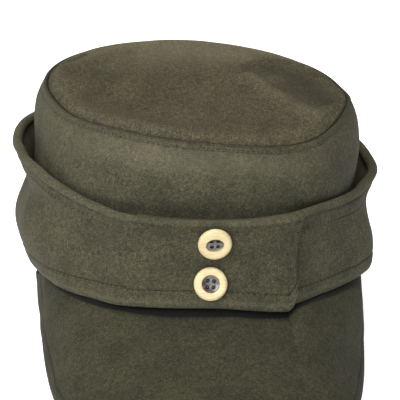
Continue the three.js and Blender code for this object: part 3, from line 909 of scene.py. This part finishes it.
def setNode(material, node, settings=None, links=None):
    # settings and links go by the name of a socket or property, or by a socket's number;
    # the stops of a ramp are its places and colours
    for name, value in (settings or {}).items():
        if name == "stops":
            elements = node.color_ramp.elements
            while len(elements) < len(value):
                elements.new(0.5)
            for element, (place, colour) in zip(elements, value):
                element.position = place
                element.color = linear(colour)
        elif isinstance(name, int) or name in node.inputs.keys():
            node.inputs[name].default_value = value
        else:
            setattr(node, name, value)
    for name, source in (links or {}).items():
        material.node_tree.links.new(source, node.inputs[name])
    return node


def addNode(material, kind, settings=None, links=None):
    return setNode(material, material.node_tree.nodes.new(kind), settings, links)


def newMaterial(name):
    material = bpy.data.materials.new(name)
    material.use_nodes = True
    return material, material.node_tree.nodes["Principled BSDF"]


wool = {
    "fibres": {"Scale": 1500, "Detail": 3, "Roughness": 0.7},  # of 0.7 mm, coarser than real so as to show
    "tufts": {"Scale": 520, "Detail": 3, "Roughness": 0.65},
    "clouds": {"Scale": 70, "Detail": 2, "Roughness": 0.5},
    "fibrePlaces": (0.3, 0.42, 0.5, 0.58, 0.7),
    "tuftStops": ((0.32, "#bdb9af"), (0.5, "#dcdad2"), (0.66, "#f2f1ec")),
    "cloudStops": ((0.32, "#dcdbd6"), (0.5, "#eeede9"), (0.68, "#fdfbf3")),
    # the pale colour of painted highlight
    "paintedHighlight": "#8f8c74",
    "lint": {"Scale": 36, "Randomness": 1.0},
    "lintStops": ((0.0, "#b0b0b0"), (0.012, "#b0b0b0"), (0.02, "#000000")),
    "lintColour": "#a9a48c",
}


def woolMelton(name, tones, paintedShadeDark, brushed=(1, 1, 1)):
    # milled wool: mixed olive, brown and grey fibres give a fine speckle under a soft matt nap
    material, shader = newMaterial(name)
    coords = addNode(material, "ShaderNodeTexCoord").outputs["Object"]
    place = addNode(material, "ShaderNodeMapping", {"Scale": brushed}, {"Vector": coords}).outputs["Vector"]
    noises, tints = [], []
    stopsOf = {
        "fibres": tuple(zip(wool["fibrePlaces"], tones)),
        "tufts": wool["tuftStops"],
        "clouds": wool["cloudStops"],
    }
    for part, stops in stopsOf.items():
        noise = addNode(material, "ShaderNodeTexNoise", wool[part], {"Vector": place}).outputs["Fac"]
        tint = addNode(material, "ShaderNodeValToRGB", {"stops": stops}, {"Fac": noise})
        noises.append(noise)
        tints.append(tint.outputs["Color"])
    colour = tints[0]
    for tint in tints[1:]:
        multiply = {"data_type": "RGBA", "blend_type": "MULTIPLY", 0: 1.0}
        colour = addNode(material, "ShaderNodeMix", multiply, {6: colour, 7: tint}).outputs[2]
    # painted shade darkens the colour where the attribute is above zero, and painted highlight lightens it
    # where the attribute is below zero
    paintedShade = addNode(material, "ShaderNodeAttribute", {"attribute_name": "pressed"}).outputs["Fac"]
    below = {"From Min": 0.0, "From Max": -1.0}
    paintedHighlight = addNode(material, "ShaderNodeMapRange", below, {"Value": paintedShade}).outputs["Result"]
    # a few pale lint fibres are caught in the nap
    spots = addNode(material, "ShaderNodeTexVoronoi", wool["lint"], {"Vector": place}).outputs["Distance"]
    lint = addNode(material, "ShaderNodeValToRGB", {"stops": wool["lintStops"]}, {"Fac": spots})
    for over, share in (
        (paintedShadeDark, paintedShade),
        (wool["paintedHighlight"], paintedHighlight),
        (wool["lintColour"], lint.outputs["Color"]),
    ):
        mix = {"data_type": "RGBA", "blend_type": "MIX", 7: linear(over)}
        colour = addNode(material, "ShaderNodeMix", mix, {0: share, 6: colour}).outputs[2]
    felt = addNode(material, "ShaderNodeBump", {"Strength": 0.45, "Distance": 0.0005}, {"Height": noises[1]})
    over = {"Height": noises[0], "Normal": felt.outputs["Normal"]}
    nap = addNode(material, "ShaderNodeBump", {"Strength": 0.5, "Distance": 0.0003}, over)
    surface = {
        "Roughness": 0.95,
        "Specular IOR Level": 0.25,
        "Sheen Weight": 0.03,
        "Sheen Roughness": 0.5,
        "Sheen Tint": linear("#9c9880"),
    }
    setNode(material, shader, surface, {"Base Color": colour, "Normal": nap.outputs["Normal"]})
    return material


def sewingThread():
    # spun polyester thread: a smooth, slightly shiny twist, a little darker than the wool
    material, shader = newMaterial("spun_sewing_thread")
    place = addNode(material, "ShaderNodeTexCoord").outputs["Object"]
    twist = {"Scale": 2600, "Detail": 2, "Roughness": 0.5}  # its turns are about 0.4 mm apart
    twist = addNode(material, "ShaderNodeTexNoise", twist, {"Vector": place}).outputs["Fac"]
    stops = ((0.35, "#2c291f"), (0.5, "#3a3729"), (0.65, "#4b4736"))
    colour = addNode(material, "ShaderNodeValToRGB", {"stops": stops}, {"Fac": twist}).outputs["Color"]
    plies = addNode(material, "ShaderNodeBump", {"Strength": 0.3, "Distance": 0.0001}, {"Height": twist})
    links = {"Base Color": colour, "Normal": plies.outputs["Normal"]}
    setNode(material, shader, {"Roughness": 0.6}, links)
    return material


def turnedBone():
    # bone turned and polished: warm cream with faint level streaks of its grain and a few pores
    material, shader = newMaterial("turned_polished_bone")
    coords = addNode(material, "ShaderNodeTexCoord").outputs["Object"]
    # streaks about 0.5 mm apart and several times as long
    along = addNode(material, "ShaderNodeMapping", {"Scale": (0.12, 0.3, 1.0)}, {"Vector": coords})
    along = along.outputs["Vector"]
    grain = {"Scale": 1900, "Detail": 4, "Roughness": 0.6}
    grain = addNode(material, "ShaderNodeTexNoise", grain, {"Vector": along}).outputs["Fac"]
    patches = {"Scale": 240, "Detail": 2, "Roughness": 0.5}  # about 4 mm across
    patches = addNode(material, "ShaderNodeTexNoise", patches, {"Vector": coords}).outputs["Fac"]
    stops = ((0.28, "#b9aa8c"), (0.42, "#c6b899"), (0.6, "#d1c5aa"), (0.8, "#d9ceb6"))
    streaks = addNode(material, "ShaderNodeValToRGB", {"stops": stops}, {"Fac": grain}).outputs["Color"]
    stops = ((0.35, "#fbeed8"), (0.6, "#f8f6e6"))
    tint = addNode(material, "ShaderNodeValToRGB", {"stops": stops}, {"Fac": patches}).outputs["Color"]
    multiply = {"data_type": "RGBA", "blend_type": "MULTIPLY", 0: 1.0}
    colour = addNode(material, "ShaderNodeMix", multiply, {6: streaks, 7: tint}).outputs[2]
    relief = addNode(material, "ShaderNodeBump", {"Strength": 0.25, "Distance": 0.00012}, {"Height": grain})
    surface = {"Roughness": 0.42, "IOR": 1.54, "Subsurface Weight": 0.08, "Subsurface Scale": 0.001}
    setNode(material, shader, surface, {"Base Color": colour, "Normal": relief.outputs["Normal"]})
    return material


def darkHorn():
    # moulded and buffed horn: cloudy grey-brown with a clear gloss
    material, shader = newMaterial("buffed_dark_horn")
    coords = addNode(material, "ShaderNodeTexCoord").outputs["Object"]
    clouds = {"Scale": 620, "Detail": 3, "Roughness": 0.6}  # about 1.6 mm across
    clouds = addNode(material, "ShaderNodeTexNoise", clouds, {"Vector": coords}).outputs["Fac"]
    stops = ((0.3, "#2f2728"), (0.5, "#4c4344"), (0.7, "#6d6461"))
    colour = addNode(material, "ShaderNodeValToRGB", {"stops": stops}, {"Fac": clouds}).outputs["Color"]
    polish = addNode(material, "ShaderNodeBump", {"Strength": 0.1, "Distance": 0.0001}, {"Height": clouds})
    surface = {"Roughness": 0.24, "IOR": 1.55, "Coat Weight": 0.3, "Coat Roughness": 0.1}
    setNode(material, shader, surface, {"Base Color": colour, "Normal": polish.outputs["Normal"]})
    return material


capTones = ("#303026", "#3d3c31", "#48473b", "#535244", "#676656")
capWool = woolMelton("milled_wool_melton", capTones, "#110f0b")
# the nap of the top is brushed from front to back, and its browner tones are a copy of the same wool toned
# to paint in how the light falls on the top
topLightTones = ("#2b291f", "#3c3a2e", "#494638", "#575445", "#6d6957")
topLightWool = woolMelton("brushed_wool_melton", topLightTones, "#110f0b", (1, 0.4, 1))
# the peak has its own copy of the same wool, toned darker as painted shade
peakShadeTones = ("#25261f", "#303024", "#39392d", "#414134", "#515142")
peakShadeWool = woolMelton("pressed_wool_melton", peakShadeTones, "#0e0d0e")
clothPieces = (  # each with its flat size and flat area
    (wall, "crown_wall", capWool, (0.585, 0.112), "stretched", 0.058),
    (top, "crown_top", topLightWool, (0.165, 0.19), "stretched", 0.0245),
    (overHalf, "flap_overlapping", capWool, (0.34, 0.072), "folded", 0.0222),
    (underHalf, "flap_underlapping", capWool, (0.315, 0.07), "folded", 0.0201),
    (peak, "peak", peakShadeWool, (0.17, 0.155), "stretched", 0.0171),
)
for piece, node, material, flat, held, area in clothPieces:
    piece.data.materials.append(material)
    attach(piece, "root")
    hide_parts(node)
threadMaterial = sewingThread()
for row in threads:
    row.data.materials.append(threadMaterial)
    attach(row, "root")
bone, horn = turnedBone(), darkHorn()
for seat, (ring, centre, sewn) in zip(buttonSeats, buttonPieces):
    for piece, material, slot in (
        (ring, bone, "button_rim"),
        (centre, horn, "button_centre"),
        (sewn, threadMaterial, "wool_cloth"),
    ):
        piece.data.materials.append(material)
        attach(piece, "root")
    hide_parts("button_rim_" + seat["name"])
    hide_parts("button_centre_" + seat["name"])
print("materials laid on")

# Studio: a white floor that glows like a light table, four soft boxes and a faint even room
studio = {"floorSize": 6, "floorGlow": 0.65, "roomLight": 0.02, "boxSize": (1.2, 1.0), "aim": (0, 0, 0.06)}
softboxes = [
    {"name": "key_softbox", "watts": 33, "at": (-0.85, -1.0, 1.15), "tint": (1, 0.98, 0.92)},
    {"name": "front_softbox", "watts": 10, "at": (-0.15, -1.7, 0.55), "tint": (0.85, 0.95, 1)},
    {"name": "overhead_softbox", "watts": 28, "at": (0, 0.1, 1.7), "tint": (1, 0.96, 0.88)},
    {"name": "rear_softbox", "watts": 2.5, "at": (-0.8, 1.1, 1.2), "tint": (1, 0.99, 0.97)},
]
bpy.ops.object.select_all(action="DESELECT")
bpy.ops.mesh.primitive_plane_add(size=studio["floorSize"], location=(0, 0, 0))
floor = bpy.context.object
floor.name = "studio_floor"
acrylic, acrylicShader = newMaterial("matt_white_acrylic")
glow = {"Emission Color": (1, 1, 1, 1), "Emission Strength": studio["floorGlow"]}
setNode(acrylic, acrylicShader, {"Base Color": linear("#f6f6f6"), "Roughness": 0.9} | glow)
floor.data.materials.append(acrylic)
for box in softboxes:
    bpy.ops.object.light_add(type="AREA", location=box["at"])
    light = bpy.context.object
    light.name = box["name"]
    light.data.shape = "RECTANGLE"
    light.data.size, light.data.size_y = studio["boxSize"]
    light.data.energy = box["watts"]
    light.data.color = box["tint"]
    way = Vector(studio["aim"]) - Vector(box["at"])
    light.rotation_euler = way.to_track_quat("-Z", "Y").to_euler()
world = bpy.data.worlds.new("studio_room")
world.use_nodes = True
world.node_tree.nodes["Background"].inputs["Color"].default_value = (1, 1, 1, 1)
world.node_tree.nodes["Background"].inputs["Strength"].default_value = studio["roomLight"]
bpy.context.scene.world = world
bpy.context.scene.view_settings.view_transform = "Standard"

# Camera: a long lens a little above the cap and to the wearer's right of its front, turned slightly
cameraView = {
    "azimuth": 6.057,
    "elevation": 21.892,
    "roll": 2.158,
    "distance": 0.7,
    "aim": (0.00223, 0.032874, 0.050338),
    "lensMm": 118.44,
}
a, e = math.radians(cameraView["azimuth"]), math.radians(cameraView["elevation"])
look = Vector((math.sin(a) * math.cos(e), math.cos(a) * math.cos(e), -math.sin(e)))
bpy.ops.object.camera_add(location=Vector(cameraView["aim"]) - look * cameraView["distance"])
camera = bpy.context.object
roll = Matrix.Rotation(math.radians(cameraView["roll"]), 3, "Z")
camera.rotation_euler = (look.to_track_quat("-Z", "Y").to_matrix() @ roll).to_euler()
camera.data.lens = cameraView["lensMm"]
camera.data.sensor_width = 36
camera.data.clip_start = 0.01
bpy.context.scene.camera = camera
